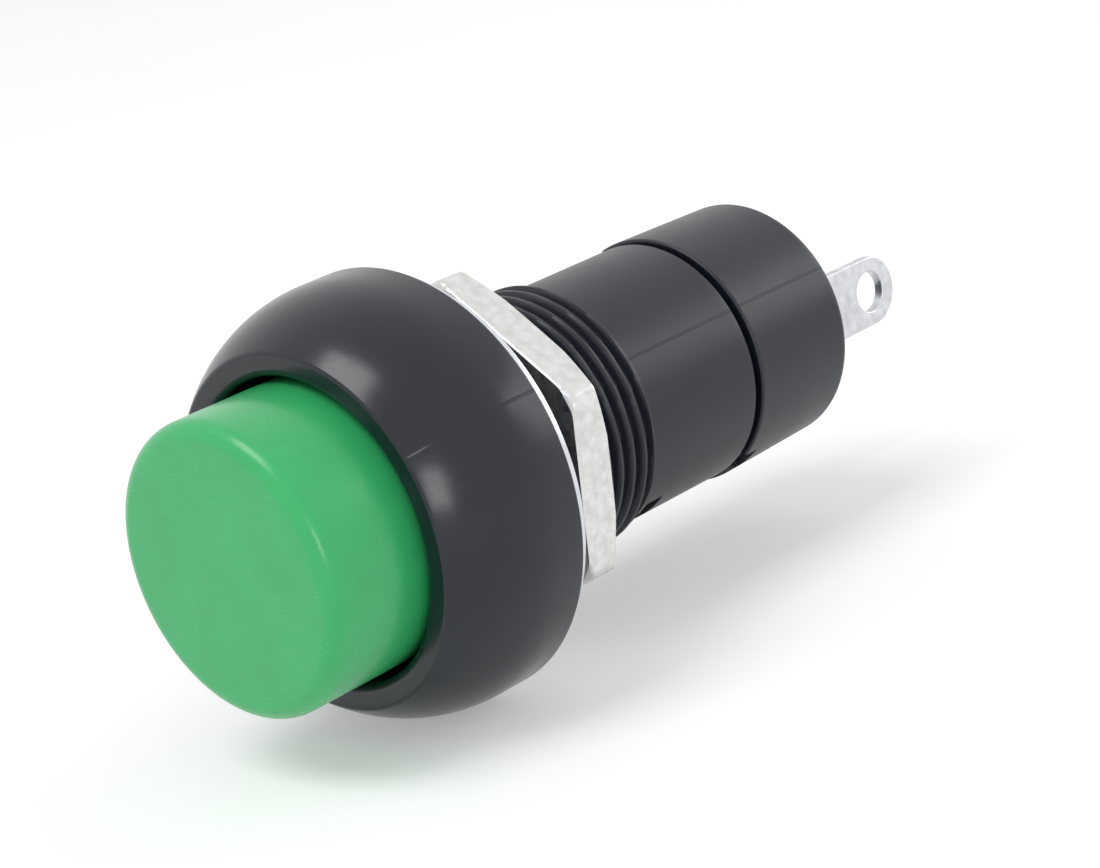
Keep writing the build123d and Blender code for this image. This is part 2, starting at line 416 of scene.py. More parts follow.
def effect(name, inputs, outputs):
    """An empty node group with named sockets, given as name: (kind, default)."""
    group = bpy.data.node_groups.new(name, "ShaderNodeTree")
    for label, (kind, value) in inputs.items():
        made = group.interface.new_socket(name=label, in_out="INPUT", socket_type=kind)
        if value is not None:
            made.default_value = value
    for label, kind in outputs.items():
        group.interface.new_socket(name=label, in_out="OUTPUT", socket_type=kind)
    return group, add(group, "NodeGroupInput", (-700, 0)), add(group, "NodeGroupOutput", (600, 0))


def moulded_grain():
    """Fine orange-peel of a polished mould with a finer grain mixed in, as a height."""
    name = "Moulded grain"
    if name in bpy.data.node_groups:
        return bpy.data.node_groups[name]
    group, start, end = effect(
        name,
        {
            "Vector": ("NodeSocketVector", None),
            "Peel": ("NodeSocketFloat", 1.2),
            "Fine": ("NodeSocketFloat", 9.0),
        },
        {"Height": "NodeSocketFloat"},
    )
    peel = add(group, "ShaderNodeTexNoise", (-450, 150), Detail=2.0, Roughness=0.45)
    fine = add(group, "ShaderNodeTexNoise", (-450, -150), Detail=3.0, Roughness=0.6)
    mix = add(group, "ShaderNodeMix", (-100, 0), data_type="FLOAT")
    mix.inputs[0].default_value = 0.45
    wire(
        group,
        (start, "Vector", peel, "Vector"),
        (start, "Peel", peel, "Scale"),
        (start, "Vector", fine, "Vector"),
        (start, "Fine", fine, "Scale"),
        (peel, "Fac", mix, 2),
        (fine, "Fac", mix, 3),
        (mix, 0, end, "Height"),
    )
    return group


def colour_drift():
    """A colour that wanders a little lighter and darker over the surface."""
    name = "Colour drift"
    if name in bpy.data.node_groups:
        return bpy.data.node_groups[name]
    group, start, end = effect(
        name,
        {
            "Vector": ("NodeSocketVector", None),
            "Colour": ("NodeSocketColor", (0.5, 0.5, 0.5, 1)),
            "Scale": ("NodeSocketFloat", 0.4),
            "Amount": ("NodeSocketFloat", 0.15),
        },
        {"Colour": "NodeSocketColor"},
    )
    cloud = add(group, "ShaderNodeTexNoise", (-450, 0), Detail=4.0, Roughness=0.55)
    spread = add(group, "ShaderNodeMapRange", (-250, 0), From_Min=0.3, From_Max=0.7, To_Min=-1.0)
    gain = add(group, "ShaderNodeMath", (-50, 0), operation="MULTIPLY_ADD")
    gain.inputs[2].default_value = 1.0
    tint = add(group, "ShaderNodeVectorMath", (200, 0), operation="SCALE")
    wire(
        group,
        (start, "Vector", cloud, "Vector"),
        (start, "Scale", cloud, "Scale"),
        (cloud, "Fac", spread, "Value"),
        (spread, "Result", gain, 0),
        (start, "Amount", gain, 1),
        (start, "Colour", tint, 0),
        (gain, 0, tint, "Scale"),
        (tint, "Vector", end, "Colour"),
    )
    return group


def handling_marks():
    """Hairline scratches and faint smudges, as a roughness and a height."""
    name = "Handling marks"
    if name in bpy.data.node_groups:
        return bpy.data.node_groups[name]
    group, start, end = effect(
        name,
        {
            "Vector": ("NodeSocketVector", None),
            "Roughness": ("NodeSocketFloat", 0.3),
            "Smudge": ("NodeSocketFloat", 0.08),
            "Stretch": ("NodeSocketVector", (0.25, 6.0, 6.0)),
        },
        {"Roughness": "NodeSocketFloat", "Height": "NodeSocketFloat"},
    )
    cloud = add(group, "ShaderNodeTexNoise", (-450, 150), Scale=0.7, Detail=5.0, Roughness=0.6)
    pull = add(group, "ShaderNodeVectorMath", (-600, -150), operation="MULTIPLY")
    hair = add(group, "ShaderNodeTexNoise", (-450, -150), Scale=1.6, Detail=3.0, Roughness=0.7)
    thin = add(group, "ShaderNodeMapRange", (-250, -150), From_Min=0.60, From_Max=0.68)
    centred = add(group, "ShaderNodeMath", (-250, 150), operation="SUBTRACT")
    centred.inputs[1].default_value = 0.5
    scaled = add(group, "ShaderNodeMath", (-50, 150), operation="MULTIPLY_ADD")
    rough = add(group, "ShaderNodeMath", (150, 150), operation="MULTIPLY_ADD")
    rough.inputs[1].default_value = 0.06
    wire(
        group,
        (start, "Vector", cloud, "Vector"),
        (start, "Vector", pull, 0),
        (start, "Stretch", pull, 1),
        (pull, "Vector", hair, "Vector"),
        (hair, "Fac", thin, "Value"),
        (cloud, "Fac", centred, 0),
        (centred, 0, scaled, 0),
        (start, "Smudge", scaled, 1),
        (start, "Roughness", scaled, 2),
        (thin, "Result", rough, 0),
        (scaled, 0, rough, 2),
        (rough, 0, end, "Roughness"),
        (thin, "Result", end, "Height"),
    )
    return group


def plating():
    """Patchy grain of a barrel-plated metal: soft cells, fine pits and dull spots."""
    name = "Plating"
    if name in bpy.data.node_groups:
        return bpy.data.node_groups[name]
    group, start, end = effect(
        name,
        {
            "Vector": ("NodeSocketVector", None),
            "Colour": ("NodeSocketColor", (0.6, 0.6, 0.6, 1)),
            "Dull colour": ("NodeSocketColor", (0.35, 0.35, 0.35, 1)),
            "Scale": ("NodeSocketFloat", 1.6),
            "Patches": ("NodeSocketFloat", 0.6),
            "Roughness": ("NodeSocketFloat", 0.3),
        },
        {"Colour": "NodeSocketColor", "Roughness": "NodeSocketFloat", "Height": "NodeSocketFloat"},
    )
    cells = add(group, "ShaderNodeTexVoronoi", (-450, 200), feature="SMOOTH_F1", Smoothness=0.6)
    cloud = add(group, "ShaderNodeTexNoise", (-450, -100), Detail=5.0, Roughness=0.65)
    pits = add(group, "ShaderNodeTexNoise", (-450, -350), Scale=14.0, Detail=2.0)
    both = add(group, "ShaderNodeMath", (-250, 50), operation="MULTIPLY_ADD")
    both.inputs[1].default_value = 0.5
    patch = add(group, "ShaderNodeMapRange", (-80, 50), From_Min=0.55, From_Max=0.95)
    share = add(group, "ShaderNodeMath", (80, 50), operation="MULTIPLY")
    blend = add(group, "ShaderNodeMix", (250, 150), data_type="RGBA")
    rough = add(group, "ShaderNodeMath", (250, -80), operation="MULTIPLY_ADD")
    rough.inputs[1].default_value = 0.25
    height = add(group, "ShaderNodeMath", (250, -300), operation="MULTIPLY_ADD")
    height.inputs[1].default_value = 0.35
    wire(
        group,
        (start, "Vector", cells, "Vector"),
        (start, "Scale", cells, "Scale"),
        (start, "Vector", cloud, "Vector"),
        (start, "Scale", cloud, "Scale"),
        (start, "Vector", pits, "Vector"),
        (cells, "Distance", both, 0),
        (cloud, "Fac", both, 2),
        (both, 0, patch, "Value"),
        (patch, "Result", share, 0),
        (start, "Patches", share, 1),
        (share, 0, blend, 0),
        (start, "Colour", blend, 6),
        (start, "Dull colour", blend, 7),
        (share, 0, rough, 0),
        (start, "Roughness", rough, 2),
        (pits, "Fac", height, 0),
        (both, 0, height, 2),
        (blend, 2, end, "Colour"),
        (rough, 0, end, "Roughness"),
        (height, 0, end, "Height"),
    )
    return group


# ---------------------------------------------------------------- finishes

def new_material(name):
    """A material with its Principled shader and Object coordinates turned into millimetres."""
    material = bpy.data.materials.new(name)
    material.use_nodes = True
    tree = material.node_tree
    tree.nodes.clear()
    out = add(tree, "ShaderNodeOutputMaterial", (900, 0))
    shader = add(tree, "ShaderNodeBsdfPrincipled", (600, 0))
    join(tree, shader.outputs["BSDF"], out.inputs["Surface"])
    place = add(tree, "ShaderNodeTexCoord", (-1100, 0))
    scale = add(tree, "ShaderNodeMapping", (-900, 0))
    scale.inputs["Scale"].default_value = (1000, 1000, 1000)
    join(tree, place.outputs["Object"], scale.inputs["Vector"])
    return material, tree, shader, scale.outputs["Vector"]


def placed(tree, group, place, vector, **values):
    """A node group placed in a material, fed with the coordinates and its own values."""
    made = add(tree, "ShaderNodeGroup", place)
    made.node_tree = group
    for key, value in values.items():
        made.inputs[key.replace("_", " ")].default_value = value
    join(tree, vector, made.inputs["Vector"])
    return made


def bumped(tree, shader, height, strength, depth, place=(350, -400), after=None):
    """A bump that feeds the shader's normal; depth is in metres."""
    made = add(tree, "ShaderNodeBump", place)
    made.inputs["Strength"].default_value = strength
    made.inputs["Distance"].default_value = depth
    join(tree, height, made.inputs["Height"])
    if after is not None:
        join(tree, after, made.inputs["Normal"])
    join(tree, made.outputs["Normal"], shader.inputs["Normal"])
    return made.outputs["Normal"]


def moulding(name, colour, roughness, drift, peel, specular=0.5):
    """Injection-moulded plastic: drifting colour, mould peel, smudges and hairlines."""
    material, tree, shader, vector = new_material(name)
    tint = placed(tree, colour_drift(), (0, 250), vector, Colour=(*colour, 1), Scale=0.35, Amount=drift)
    marks = placed(tree, handling_marks(), (0, 0), vector, Roughness=roughness, Smudge=0.12)
    grain = placed(tree, moulded_grain(), (0, -300), vector, Peel=0.9, Fine=11.0)
    join(tree, tint.outputs["Colour"], shader.inputs["Base Color"])
    join(tree, marks.outputs["Roughness"], shader.inputs["Roughness"])
    first = bumped(tree, shader, grain.outputs["Height"], 0.5, peel * MM, (250, -300))
    bumped(tree, shader, marks.outputs["Height"], 0.25, 0.004 * MM, (420, -450), first)
    shader.inputs["Specular IOR Level"].default_value = specular
    shader.inputs["IOR"].default_value = 1.5
    return material, tree, shader, vector


def plated(name, colour, dull, scale, patches, roughness, pit):
    """Plated metal with patchy grain and hairlines."""
    material, tree, shader, vector = new_material(name)
    coat = placed(
        tree,
        plating(),
        (0, 200),
        vector,
        Colour=(*colour, 1),
        Dull_colour=(*dull, 1),
        Scale=scale,
        Patches=patches,
        Roughness=roughness,
    )
    marks = placed(tree, handling_marks(), (0, -250), vector, Roughness=roughness, Smudge=0.1)
    join(tree, coat.outputs["Colour"], shader.inputs["Base Color"])
    join(tree, coat.outputs["Roughness"], shader.inputs["Roughness"])
    first = bumped(tree, shader, coat.outputs["Height"], 0.4, pit * MM, (250, -300))
    bumped(tree, shader, marks.outputs["Height"], 0.2, 0.005 * MM, (420, -450), first)
    shader.inputs["Metallic"].default_value = 1.0
    return material, tree, shader, vector


def seam_line(tree, vector, angle, width, place=(-500, -600)):
    """Height of a mould's parting line: a thin ridge in the plane through the axis at an angle."""
    split = add(tree, "ShaderNodeSeparateXYZ", place)
    join(tree, vector, split.inputs[0])
    a = add(tree, "ShaderNodeMath", (place[0] + 180, place[1]), operation="MULTIPLY")
    b = add(tree, "ShaderNodeMath", (place[0] + 340, place[1]), operation="MULTIPLY_ADD")
    c = add(tree, "ShaderNodeMath", (place[0] + 500, place[1]), operation="ABSOLUTE")
    ridge = add(
        tree,
        "ShaderNodeMapRange",
        (place[0] + 660, place[1]),
        interpolation_type="SMOOTHSTEP",
        From_Max=width,
        To_Min=1.0,
        To_Max=0.0,
    )
    a.inputs[1].default_value = float(np.cos(angle))
    b.inputs[1].default_value = float(-np.sin(angle))
    wire(
        tree,
        (split, "X", a, 0),
        (split, "Z", b, 0),
        (a, 0, b, 2),
        (b, 0, c, 0),
        (c, 0, ridge, "Value"),
    )
    return ridge.outputs["Result"], split.outputs["Y"]


def housing_finish(colours):
    """Black moulding: glossy on the bezel, satin on the sleeve, with a faint parting line."""
    name = "Black housing moulding"
    if name in bpy.data.materials:
        return bpy.data.materials[name]
    material, tree, shader, vector = moulding(name, colours.housing, 0.2, 0.1, 0.008)
    ridge, along = seam_line(tree, vector, np.radians(62), 0.08)
    satin = add(
        tree,
        "ShaderNodeMapRange",
        (100, -700),
        From_Min=-1.0,
        From_Max=0.5,
        To_Min=0.0,
        To_Max=0.16,
    )
    join(tree, along, satin.inputs["Value"])
    base = shader.inputs["Roughness"].links[0].from_socket
    rough = add(tree, "ShaderNodeMath", (350, -100), operation="ADD")
    join(tree, base, rough.inputs[0])
    join(tree, satin.outputs["Result"], rough.inputs[1])
    join(tree, rough.outputs[0], shader.inputs["Roughness"])
    before = shader.inputs["Normal"].links[0].from_socket
    bumped(tree, shader, ridge, 0.5, 0.03 * MM, (600, -600), before)
    return material


def cap_finish(colours):
    """Green moulding, slightly translucent, with a soft gloss."""
    name = "Green cap moulding"
    if name in bpy.data.materials:
        return bpy.data.materials[name]
    material, _, shader, _ = moulding(name, colours.cap, 0.25, 0.05, 0.005)
    shader.inputs["Subsurface Weight"].default_value = 0.12
    shader.inputs["Subsurface Radius"].default_value = (0.4, 1.0, 0.5)
    shader.inputs["Subsurface Scale"].default_value = 0.6 * MM
    return material


def inner_finish(colours):
    """Off-white slippery moulding of the plunger."""
    name = "Plunger moulding"
    if name in bpy.data.materials:
        return bpy.data.materials[name]
    return moulding(name, colours.inner, 0.45, 0.04, 0.01)[0]


def metal_finish(colours, key):
    """The plated and bare metals, each with its own grain size, patchiness and roughness."""
    kinds = {
        "nickel": ("Nut nickel plating", (0.56, 0.555, 0.54), 2.2, 0.6, 0.24, 0.02),
        "zinc": ("Washer zinc plating", (0.5, 0.53, 0.58), 2.6, 0.4, 0.2, 0.012),
        "tin": ("Terminal tin plating", (0.42, 0.43, 0.45), 2.0, 0.5, 0.3, 0.014),
        "steel": ("Drawn spring wire", (0.3, 0.3, 0.31), 5.0, 0.4, 0.28, 0.006),
        "brass": ("Stamped brass", (0.5, 0.33, 0.13), 2.2, 0.5, 0.3, 0.01),
        "silver": ("Contact silver", (0.6, 0.57, 0.52), 3.5, 0.4, 0.34, 0.01),
    }
    name, dull, scale, patches, roughness, pit = kinds[key]
    if name in bpy.data.materials:
        return bpy.data.materials[name]
    return plated(name, getattr(colours, key), dull, scale, patches, roughness, pit)[0]


# ---------------------------------------------------------------- pieces

class SWITCH_OT_housing(bpy.types.Operator):
    """Builds the one-piece housing: domed bezel, pocket, threaded barrel and sleeve"""

    bl_idname = "push_switch.housing"
    bl_label = "Housing"

    def execute(self, context):
        s = context.scene.push_switch_sizes
        stage = context.scene.push_switch_stage
        bezel, rim, lip = s.bezel_r / MM, s.rim_y / MM, s.lip_r / MM
        pocket, barrel, barrel_end = s.pocket_r / MM, s.barrel_r / MM, s.barrel_end / MM
        sleeve, sleeve_end, pitch = s.sleeve_r / MM, s.sleeve_end / MM, s.pitch / MM
        edge, lip_drop = 1.6, 0.25
        neck_hole, window_floor = 3.95, 4.86
        # the dome is the arc that leaves the bezel's side along the axis and ends at the lip
        across, along = bezel - lip, -rim - edge - lip_drop
        arc_r = (across**2 + along**2) / (2 * across)
        turn = np.arcsin(along / arc_r) * np.linspace(0, 1, 40)
        dome = np.stack([bezel - arc_r + arc_r * np.cos(turn), -edge - arc_r * np.sin(turn)], axis=1)
        lip_edge = rounded(
            [dome[-1], (lip - 0.2, rim), (pocket, rim), (pocket, LEDGE_FRONT), dome[-2]],
            [0, 0.28, 0.42, 0, 0],
            10,
        )[1:-2]
        inside = rounded(
            [
                (pocket, rim + 2),
                (pocket, LEDGE_FRONT),
                (neck_hole, LEDGE_FRONT),
                (neck_hole, LEDGE_REAR),
                (BORE_R, LEDGE_REAR),
                (BORE_R, sleeve_end - 0.2),
                (BORE_R + 0.2, sleeve_end),
                (sleeve, sleeve_end),
                (sleeve, sleeve_end - 3.6),
            ],
            [0, 0.2, 0.1, 0.1, 0.1, 0.0, 0.0, 0.12, 0],
        )[1:-1]
        # rows down the sleeve, with a pair close to each end of the windows
        near = 0.02
        side_y = np.concatenate(
            [
                np.linspace(sleeve_end - 0.4, WINDOW_REAR + 0.3, 24),
                [WINDOW_REAR + near, WINDOW_REAR - near],
                np.linspace(WINDOW_REAR - 0.2, WINDOW_FRONT + 0.2, 4),
                [WINDOW_FRONT + near, WINDOW_FRONT - near, WINDOW_FRONT - 0.15, barrel_end + 0.2],
            ]
        )
        side = np.stack([np.full(len(side_y), sleeve), side_y], axis=1)
        rows_a_turn = 16
        thread_y = np.linspace(barrel_end, near, int(barrel_end / pitch * rows_a_turn))
        thread = np.stack([np.full(len(thread_y), barrel), thread_y], axis=1)
        back = rounded(
            [(barrel, 0.5), (barrel, 0.0), (bezel, 0.0), (bezel, -edge)],
            [0, 0, 0.14, 0],
        )[1:-1]
        profile = np.vstack([dome, lip_edge, inside, side, thread, back])
        wide = (ARM_HALF_WIDTH + 0.1) / sleeve
        a = angles(stage.columns, strip_edges(SNAP_ANGLES, wide))
        r = np.repeat(profile[:, 0, None], len(a), axis=1)
        y = profile[:, 1, None]
        # the thread: crests at the barrel's radius, faded out towards both its ends
        on_barrel = (np.abs(profile[:, 0, None] - barrel) < 1e-6) & (y > 0.01) & (y < barrel_end + 1e-6)
        fade = smooth_step((y - 0.25) / 0.4) * smooth_step((barrel_end + 0.25 - y) / 0.5)
        cut = groove(y, a[None, :], pitch) * (s.thread_depth / MM) * fade
        end_slope = 0.35 * (1 - smooth_step((barrel_end - y) / 0.35))
        r = np.where(on_barrel, np.minimum(barrel - cut, barrel - end_slope), r)
        # the two windows that the rear cap's barbs sit in
        on_sleeve = (y > WINDOW_FRONT) & (y < WINDOW_REAR) & (r > sleeve - 0.01) & (r < sleeve + 0.01)
        on_window = (off_centre(a, SNAP_ANGLES) < wide) & on_sleeve
        r = np.where(on_window, window_floor, r)
        points = around(r, y, a[None, :])
        piece(
            "housing_moulding",
            [shell(points)],
            "housing",
            "body",
            housing_finish(context.scene.push_switch_colours),
            28,
        )
        return {"FINISHED"}


class SWITCH_OT_button_cap(bpy.types.Operator):
    """Builds the green cap, a cup with a rounded front edge and a peg inside"""

    bl_idname = "push_switch.button_cap"
    bl_label = "Button cap"

    def execute(self, context):
        s = context.scene.push_switch_sizes
        cap, face, skirt = s.cap_r / MM, s.cap_face / MM, s.cap_skirt / MM
        inner, floor = cap - CAP_WALL, face + CAP_WALL
        peg_end = floor + 2.4
        corners = [(0, face), (cap, face), (cap, skirt), (inner, skirt), (inner, floor)]
        corners += [(PEG_R, floor), (PEG_R, peg_end), (0, peg_end)]
        outline = rounded(corners, [0, s.cap_round / MM, 0.15, 0.15, 0.3, 0.2, 0.2, 0], 12)
        flat = between(outline[0], outline[1], 6)
        profile = np.vstack([outline[:1], flat, outline[1:]])
        turn = angles(context.scene.push_switch_stage.columns)
        piece(
            "green_button_cap",
            [lathe(profile, turn, ring=False)],
            "button_cap",
            "button",
            cap_finish(context.scene.push_switch_colours),
        )
        return {"FINISHED"}


class SWITCH_OT_rear_cap(bpy.types.Operator):
    """Builds the rear cap with its spigot, snap arms, barbs and key notches"""

    bl_idname = "push_switch.rear_cap"
    bl_label = "Rear cap"

    def execute(self, context):
        s = context.scene.push_switch_sizes
        front, back, end = s.rear_front_r / MM, s.rear_back_r / MM, s.rear_end / MM
        seam = s.sleeve_end / MM
        lip_y = seam + 0.28
        spigot, spigot_y, seam_r = BORE_R - 0.05, 13.5, 5.2
        recess, recess_y = 4.7, end - 0.8
        corners = [(0, spigot_y), (spigot, spigot_y), (spigot, seam), (seam_r, seam), (seam_r, lip_y)]
        corners += [(front, lip_y), (back, end), (recess, end), (recess, recess_y), (0, recess_y)]
        outline = rounded(corners, [0, 0.2, 0, 0, 0, 0.12, 0.35, 0.12, 0.15, 0], 8)
        # more rows down the tapered side, with a pair close to the end of the key notches
        on_side = outline[:, 0] > back - 0.1
        first = np.flatnonzero(on_side & (outline[:, 1] < lip_y + 0.2))[-1]
        notch_y, notch_depth = lip_y + 0.8, 0.35
        grow = (back - front) / (end - lip_y)
        y_more = np.concatenate(
            [[lip_y + 0.2, notch_y - 0.02, notch_y + 0.02], np.linspace(notch_y + 0.3, end - 0.5, 12)]
        )
        more = np.stack([front + grow * (y_more - lip_y), y_more], axis=1)
        profile = np.vstack([outline[: first + 1], more, outline[first + 1 :]])
        wide = ARM_HALF_WIDTH / front
        a = angles(context.scene.push_switch_stage.columns, strip_edges(SNAP_ANGLES, wide))
        r = np.repeat(profile[:, 0, None], len(a), axis=1)
        y = profile[:, 1, None]
        on_notch = (off_centre(a, SNAP_ANGLES) < wide) & (y < notch_y) & (r > 5.5)
        r = np.where(on_notch, np.minimum(r, front - notch_depth), r)
        shells = [shell(around(r, y, a[None, :]), ring=False)]
        half = ARM_HALF_WIDTH
        arm_low, arm_high = (-half, WINDOW_FRONT - 0.2, spigot - 0.4), (half, spigot_y + 0.1, spigot)
        barb_low, barb_high = (-half, WINDOW_FRONT + 0.1, 4.6), (half, WINDOW_REAR - 0.1, 5.45)
        for centre in SNAP_ANGLES:
            shells.append(block(arm_low, arm_high, centre, 0.04))
            shells.append(block(barb_low, barb_high, centre, 0.05))
        piece(
            "rear_cap_moulding",
            shells,
            "rear_cap",
            "body",
            housing_finish(context.scene.push_switch_colours),
        )
        return {"FINISHED"}


class SWITCH_OT_washer(bpy.types.Operator):
    """Builds the plated washer that lies against the bezel's back"""

    bl_idname = "push_switch.washer"
    bl_label = "Washer"

    def execute(self, context):
        s = context.scene.push_switch_sizes
        outer, thick, hole = s.washer_r / MM, s.washer_thick / MM, s.barrel_r / MM + 0.15
        profile = rounded(
            [(hole, 0), (outer, 0), (outer, thick), (hole, thick)],
            [0.05, 0.12, 0.06, 0.05],
            6,
        )
        turn = angles(context.scene.push_switch_stage.columns)
        piece(
            "plated_washer",
            [lathe(profile, turn)],
            "washer",
            "body",
            metal_finish(context.scene.push_switch_colours, "zinc"),
        )
        return {"FINISHED"}


class SWITCH_OT_nut(bpy.types.Operator):
    """Builds the plated hex nut with its chamfered corners and threaded bore"""

    bl_idname = "push_switch.nut"
    bl_label = "Nut"

    def execute(self, context):
        s = context.scene.push_switch_sizes
        front, rear, flats = s.nut_front / MM, s.nut_rear / MM, s.nut_flats / MM
        pitch, depth = s.pitch / MM, s.thread_depth / MM
        first_corner, corner_round = np.radians(7.4), 0.12
        a = np.linspace(0, 2 * np.pi, 360, endpoint=False) + first_corner
        # distance to the hexagon: half the flats over the cosine of the angle from the nearest flat
        from_flat = np.mod(a - first_corner, np.pi / 3) - np.pi / 6
        hexagon = flats / 2 / np.cos(from_flat)
        corner = flats / 2 / np.cos(np.pi / 6) - corner_round / 2
        hexagon = soft_min(hexagon, np.full_like(hexagon, corner), corner_round)
        # side rows, as shares of half the thickness; one cone cuts the corners at the rear, one in front
        close_to_front = [0, 0.03, 0.08, 0.15, 0.25]
        up = np.concatenate([close_to_front, np.linspace(0.4, 1.3, 8), np.linspace(1.4, 2.0, 16)])
        side_y = front + up * (rear - front) / 2
        from_front = (side_y - front)[:, None]
        from_rear = (rear - side_y)[:, None]
        cone_rear = flats / 2 + 0.12 + from_rear / np.tan(np.radians(27))
        cone_front = flats / 2 + 0.75 + from_front / np.tan(np.radians(35))
        side = soft_min(soft_min(hexagon[None, :], cone_rear, 0.10), cone_front, 0.08)
        edge = 0.05 * (1 - smooth_step(np.minimum(from_front, from_rear) / 0.08))
        side = side - edge
        t = np.linspace(0, 1, 8)[1:-1, None]
        mouth = s.barrel_r / MM + 0.15
        rear_face = side[-1][None, :] * (1 - t) + mouth * t
        front_face = mouth * (1 - t) + side[0][None, :] * t
        bore_y = np.linspace(rear - 0.02, front + 0.02, 44)[:, None]
        fade = smooth_step((bore_y - front) / 0.35) * smooth_step((rear - bore_y) / 0.35)
        bore = mouth + fade * groove(bore_y, a[None, :], pitch) * (depth - 0.12)
        rows = [
            (side, np.repeat(side_y[:, None], len(a), 1)),
            (rear_face, np.full((len(t), len(a)), rear)),
            (np.full((1, len(a)), mouth), np.full((1, len(a)), rear)),
            (bore, np.repeat(bore_y, len(a), 1)),
            (np.full((1, len(a)), mouth), np.full((1, len(a)), front)),
            (front_face, np.full((len(t), len(a)), front)),
        ]
        radius = np.vstack([r for r, _ in rows])
        along = np.vstack([y for _, y in rows])
        piece(
            "plated_hex_nut",
            [shell(around(radius, along, a[None, :]))],
            "hex_nut",
            "nut",
            metal_finish(context.scene.push_switch_colours, "nickel"),
            24,
        )
        return {"FINISHED"}


def strip(length, width, thick, hole_r, tip, soft=0.07):
    """A flat strip with a round tip, a hole near it and a square far end, as a closed ring of rows.

    Every point lies on a ray from the hole's centre, on the edge of a short stadium shape or between
    it and the hole. Past a place short of the far end the strip is stretched along its length.
    Across the thickness the rows go round the hole's wall, one face, the outer edge and the other face.
    """
    a = np.linspace(0, 2 * np.pi, 144, endpoint=False)
    c, n = np.cos(a), np.sin(a)
    half = width / 2
    back = 2.6
    # the ray's length to the round tip, to either straight side and to the square end
    tip_at = tip - half
    inner = tip_at * c + np.sqrt(np.maximum(half**2 - (tip_at * n) ** 2, 0))
    to_side = half / np.maximum(np.abs(n), 1e-9)
    to_end = back / np.maximum(-c, 1e-9)
    edge = np.where(inner * c >= tip_at, inner, np.minimum(to_side, np.where(c < 0, to_end, 1e9)))
    m = np.linspace(0, 1, 10)
    quarter = np.linspace(0, np.pi / 2, 4)
    h = thick / 2
    rows_r, rows_h = [], []
    for q in quarter:
        rows_r.append(hole_r + soft * (1 - np.sin(q)) + 0 * a)
        rows_h.append(h - soft + soft * np.cos(q))
    for q in quarter[::-1]:
        rows_r.append(hole_r + soft * (1 - np.sin(q)) + 0 * a)
        rows_h.append(-h + soft - soft * np.cos(q))
    for k in m[1:-1]:
        rows_r.append((hole_r + soft) * (1 - k) + (edge - soft) * k)
        rows_h.append(-h)
    for q in quarter[::-1]:
        rows_r.append(edge - soft + soft * np.sin(np.pi / 2 - q))
        rows_h.append(-h + soft - soft * np.sin(q))
    for q in quarter:
        rows_r.append(edge - soft + soft * np.cos(q))
        rows_h.append(h - soft + soft * np.sin(q))
    for k in m[1:-1][::-1]:
        rows_r.append((hole_r + soft) * (1 - k) + (edge - soft) * k)
        rows_h.append(h)
    r = np.array(rows_r)
    height = np.repeat(np.array(rows_h)[:, None], len(a), axis=1)
    u = r * c[None, :]
    w = r * n[None, :]
    stretch_from = 1.3
    stretched = -stretch_from + (u + stretch_from) * (length - stretch_from) / (back - stretch_from)
    u = np.where(u < -stretch_from, stretched, u)
    return u, w, height


class SWITCH_OT_terminals(bpy.types.Operator):
    """Builds both solder terminals, strips with a round tip and a wire hole"""

    bl_idname = "push_switch.terminals"
    bl_label = "Terminals"

    def execute(self, context):
        s = context.scene.push_switch_sizes
        place, tip = s.terminal_x / MM, s.terminal_tip / MM
        thick, width = s.terminal_thick / MM, s.terminal_width / MM
        hole_r, hole_from_tip = 0.95, 1.75
        pad_y, pad_inner_x = 13.0, 1.9
        hole_y = tip - hole_from_tip
        bend_r = thick / 2
        leg = hole_y - (pad_y + thick / 2) - bend_r
        arc = np.pi / 2 * bend_r
        pad = place - pad_inner_x - bend_r
        for side, sign in (("left", -1), ("right", 1)):
            u, w, h = strip(leg + arc + pad, width, thick, hole_r, hole_from_tip)
            # the strip runs straight, then round a quarter turn inwards, then straight along the pad
            back = -u
            straight = back <= leg
            bend = np.clip((back - leg) / bend_r, 0, np.pi / 2)
            past = np.maximum(back - leg - arc, 0)
            reach = bend_r + h
            y = np.where(straight, hole_y + u, hole_y - leg - reach * np.sin(bend))
            x = np.where(straight, h, -bend_r + reach * np.cos(bend) - past)
            y = np.where(past > 0, hole_y - leg - reach, y)
            x = np.where(past > 0, -bend_r - past, x)
            points = np.stack([sign * (place + x), y, w], axis=-1)
            piece(
                "solder_terminal_" + side,
                [shell(points)],
                "terminal_" + side,
                "body",
                metal_finish(context.scene.push_switch_colours, "tin"),
                40,
            )
        return {"FINISHED"}


class SWITCH_OT_springs(bpy.types.Operator):
    """Builds the return spring under the cap and the small spring behind the contact bridge"""

    bl_idname = "push_switch.springs"
    bl_label = "Springs"

    def execute(self, context):
        colours = context.scene.push_switch_colours
        steel = metal_finish(colours, "steel")
        seat_gap = 0.04
        cap_floor = context.scene.push_switch_sizes.cap_face / MM + CAP_WALL
        big = coil(4.6, 0.3, cap_floor + seat_gap, LEDGE_FRONT - seat_gap, 4.0)
        spring = piece("return_spring_wire", [big], "return_spring", "body", steel, 60)
        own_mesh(spring)
        small = coil(1.5, 0.15, 5.54, 8.56, 3.0)
        piece("contact_spring_wire", [small], "contact_spring", "button", steel, 60)
        return {"FINISHED"}


